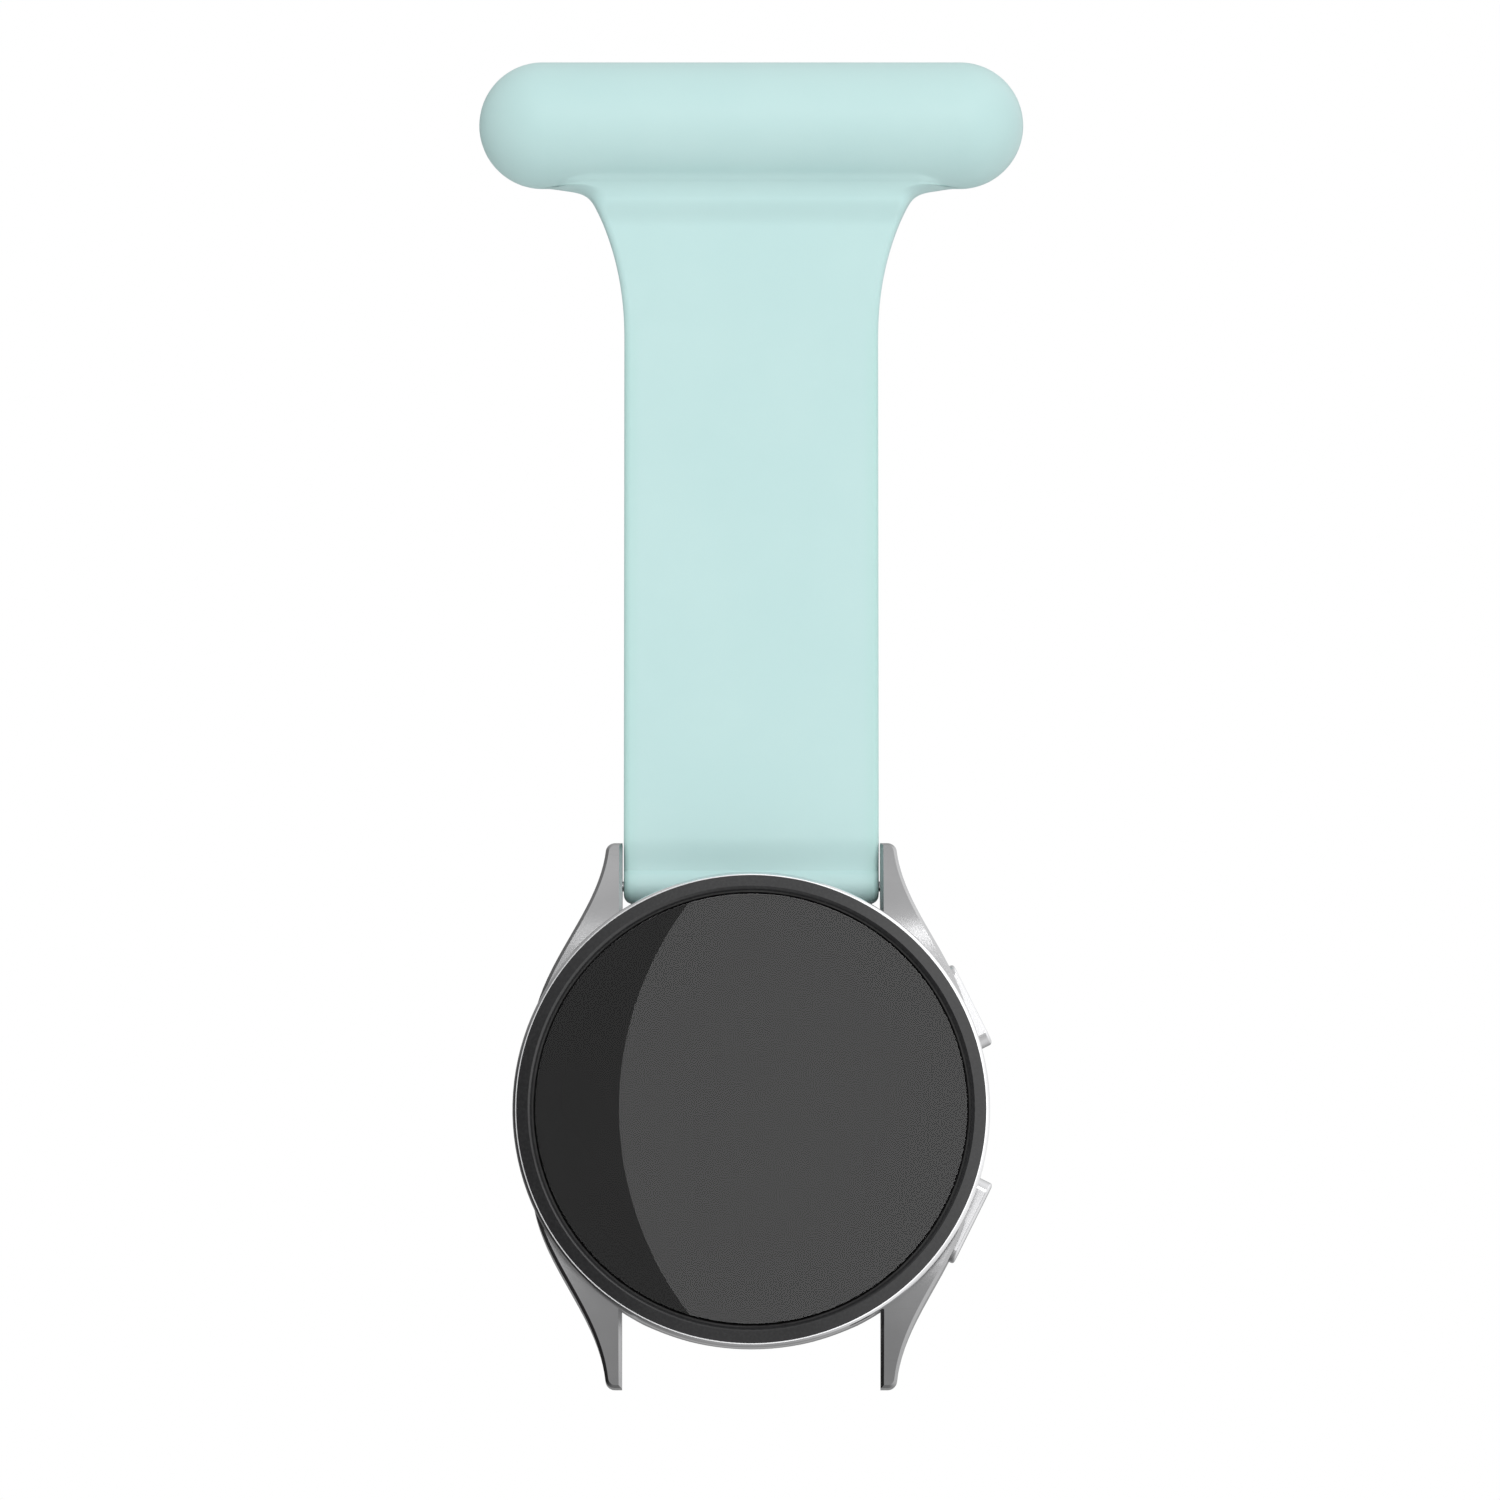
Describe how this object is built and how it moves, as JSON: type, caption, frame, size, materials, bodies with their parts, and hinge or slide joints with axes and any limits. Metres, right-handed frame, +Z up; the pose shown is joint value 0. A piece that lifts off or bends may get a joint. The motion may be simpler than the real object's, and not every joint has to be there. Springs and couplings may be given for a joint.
{
  "type": "fob watch",
  "caption": "Round touch-screen fob watch hung by a spring bar from a soft strap whose round-ended top bar hides a garment pin.",
  "frame": {"origin": "middle of the garment pin needle, on its axis", "axes": "+X along the needle towards its point, +Z up the hanging strap, -Y out of the display"},
  "size_m": [0.043, 0.0118, 0.105],
  "materials": {
    "silicone": "soft satin",
    "pin_steel": "plated",
    "bar_steel": "turned",
    "case_metal": "bead blasted, anodised",
    "bezel_metal": "polished",
    "trim_black": "gloss",
    "cover_glass": "polished",
    "seal_rubber": "matte",
    "bond": "matte",
    "panel_black": "gloss",
    "plate_steel": "rolled",
    "ribbon": "satin",
    "rear_shell": "satin",
    "rear_glass": "polished",
    "electrode": "coated",
    "board": "solder mask",
    "chip": "moulded",
    "lamp": "clear",
    "copper": "enamelled",
    "ferrite": "matte",
    "cell_foil": "foil",
    "foam": "foam",
    "tray_plastic": "moulded",
    "motor_steel": "drawn"
  },
  "bodies": {
    "fob_bar": {"strap_upper": "silicone", "pin_base_plate": "pin_steel", "pin_hinge_rivet": "pin_steel", "pin_catch_housing": "pin_steel"},
    "needle": {"pin_needle": "pin_steel"},
    "catch": {"pin_catch_roller": "pin_steel"},
    "strap_end": {"strap_lower": "silicone", "spring_bar_tube": "bar_steel", "spring_bar_spring": "bar_steel"},
    "tip_left": {"spring_bar_tip_left": "bar_steel"},
    "tip_right": {"spring_bar_tip_right": "bar_steel", "quick_release_lever": "bar_steel"},
    "upper_key": {"upper_button": "case_metal", "upper_button_seal": "seal_rubber", "upper_button_clip": "bar_steel", "upper_button_nub": "tray_plastic"},
    "lower_key": {"lower_button": "case_metal", "lower_button_seal": "seal_rubber", "lower_button_clip": "bar_steel", "lower_button_nub": "tray_plastic"},
    "haptic": {"haptic_mass": "motor_steel"},
    "watch": {"antenna": "copper", "battery": "cell_foil", "battery_pad": "foam", "bezel_ring": "bezel_metal", "board_chips": "chip", "board_sockets": "tray_plastic", "button_flex": "ribbon", "case_band": "case_metal", "charging_coil": "copper", "cover_glass": "cover_glass", "display_flex": "ribbon", "display_plate": "plate_steel", "ferrite_sheet": "ferrite", "glass_adhesive": "bond", "glass_gasket": "seal_rubber", "haptic_can": "motor_steel", "inner_tray": "tray_plastic", "light_barrier": "chip", "lower_button_switch": "chip", "lug_lower_left": "case_metal", "lug_lower_right": "case_metal", "lug_upper_left": "case_metal", "lug_upper_right": "case_metal", "main_board": "board", "microphone": "plate_steel", "oled_panel": "panel_black", "processor": "chip", "rear_cover": "rear_shell", "rear_crystal": "rear_glass", "rear_electrodes": "electrode", "rear_screws": "pin_steel", "rear_seal": "seal_rubber", "sensor_board": "board", "sensor_leds": "lamp", "shield_can": "plate_steel", "speaker": "tray_plastic", "trim_ring": "trim_black", "upper_button_switch": "chip"}
  },
  "joints": [
    {"name": "pin_open", "type": "hinge", "parent": "fob_bar", "child": "needle", "pos_m": [-0.014, 0, 0], "axis": [0, 0, 1], "range_deg": [0, 75]},
    {"name": "catch_turn", "type": "hinge", "parent": "fob_bar", "child": "catch", "pos_m": [0.0132, 0, 0], "axis": [1, 0, 0], "range_deg": [0, 100]},
    {"name": "strap_flex", "type": "hinge", "parent": "fob_bar", "child": "strap_end", "pos_m": [0, -0.004, -0.032], "axis": [-1, 0, 0], "range_deg": [-25, 75], "stiffness_Nm_per_rad": 0.0011},
    {"name": "watch_swing", "type": "hinge", "parent": "strap_end", "child": "watch", "pos_m": [0, -0.004, -0.0605], "axis": [-1, 0, 0], "range_deg": [-60, 40]},
    {"name": "tip_left_push", "type": "slide", "parent": "strap_end", "child": "tip_left", "axis": [1, 0, 0], "range_m": [0, 0.0013], "stiffness_N_per_m": 600, "springref_m": -0.0012, "deforming": ["spring_bar_spring"]},
    {"name": "tip_right_push", "type": "slide", "parent": "strap_end", "child": "tip_right", "axis": [-1, 0, 0], "range_m": [0, 0.0013], "stiffness_N_per_m": 600, "springref_m": -0.0012, "deforming": ["spring_bar_spring"]},
    {"name": "upper_button_press", "type": "slide", "parent": "watch", "child": "upper_key", "axis": [-0.8949, 0, -0.4462], "range_m": [0, 0.00035], "stiffness_N_per_m": 1200, "springref_m": -0.0005},
    {"name": "lower_button_press", "type": "slide", "parent": "watch", "child": "lower_key", "axis": [-0.8949, 0, 0.4462], "range_m": [0, 0.00035], "stiffness_N_per_m": 1200, "springref_m": -0.0005},
    {"name": "haptic_shake", "type": "slide", "parent": "watch", "child": "haptic", "axis": [0, -1, 0], "range_m": [-0.00025, 0.00025], "stiffness_N_per_m": 20}
  ]
}
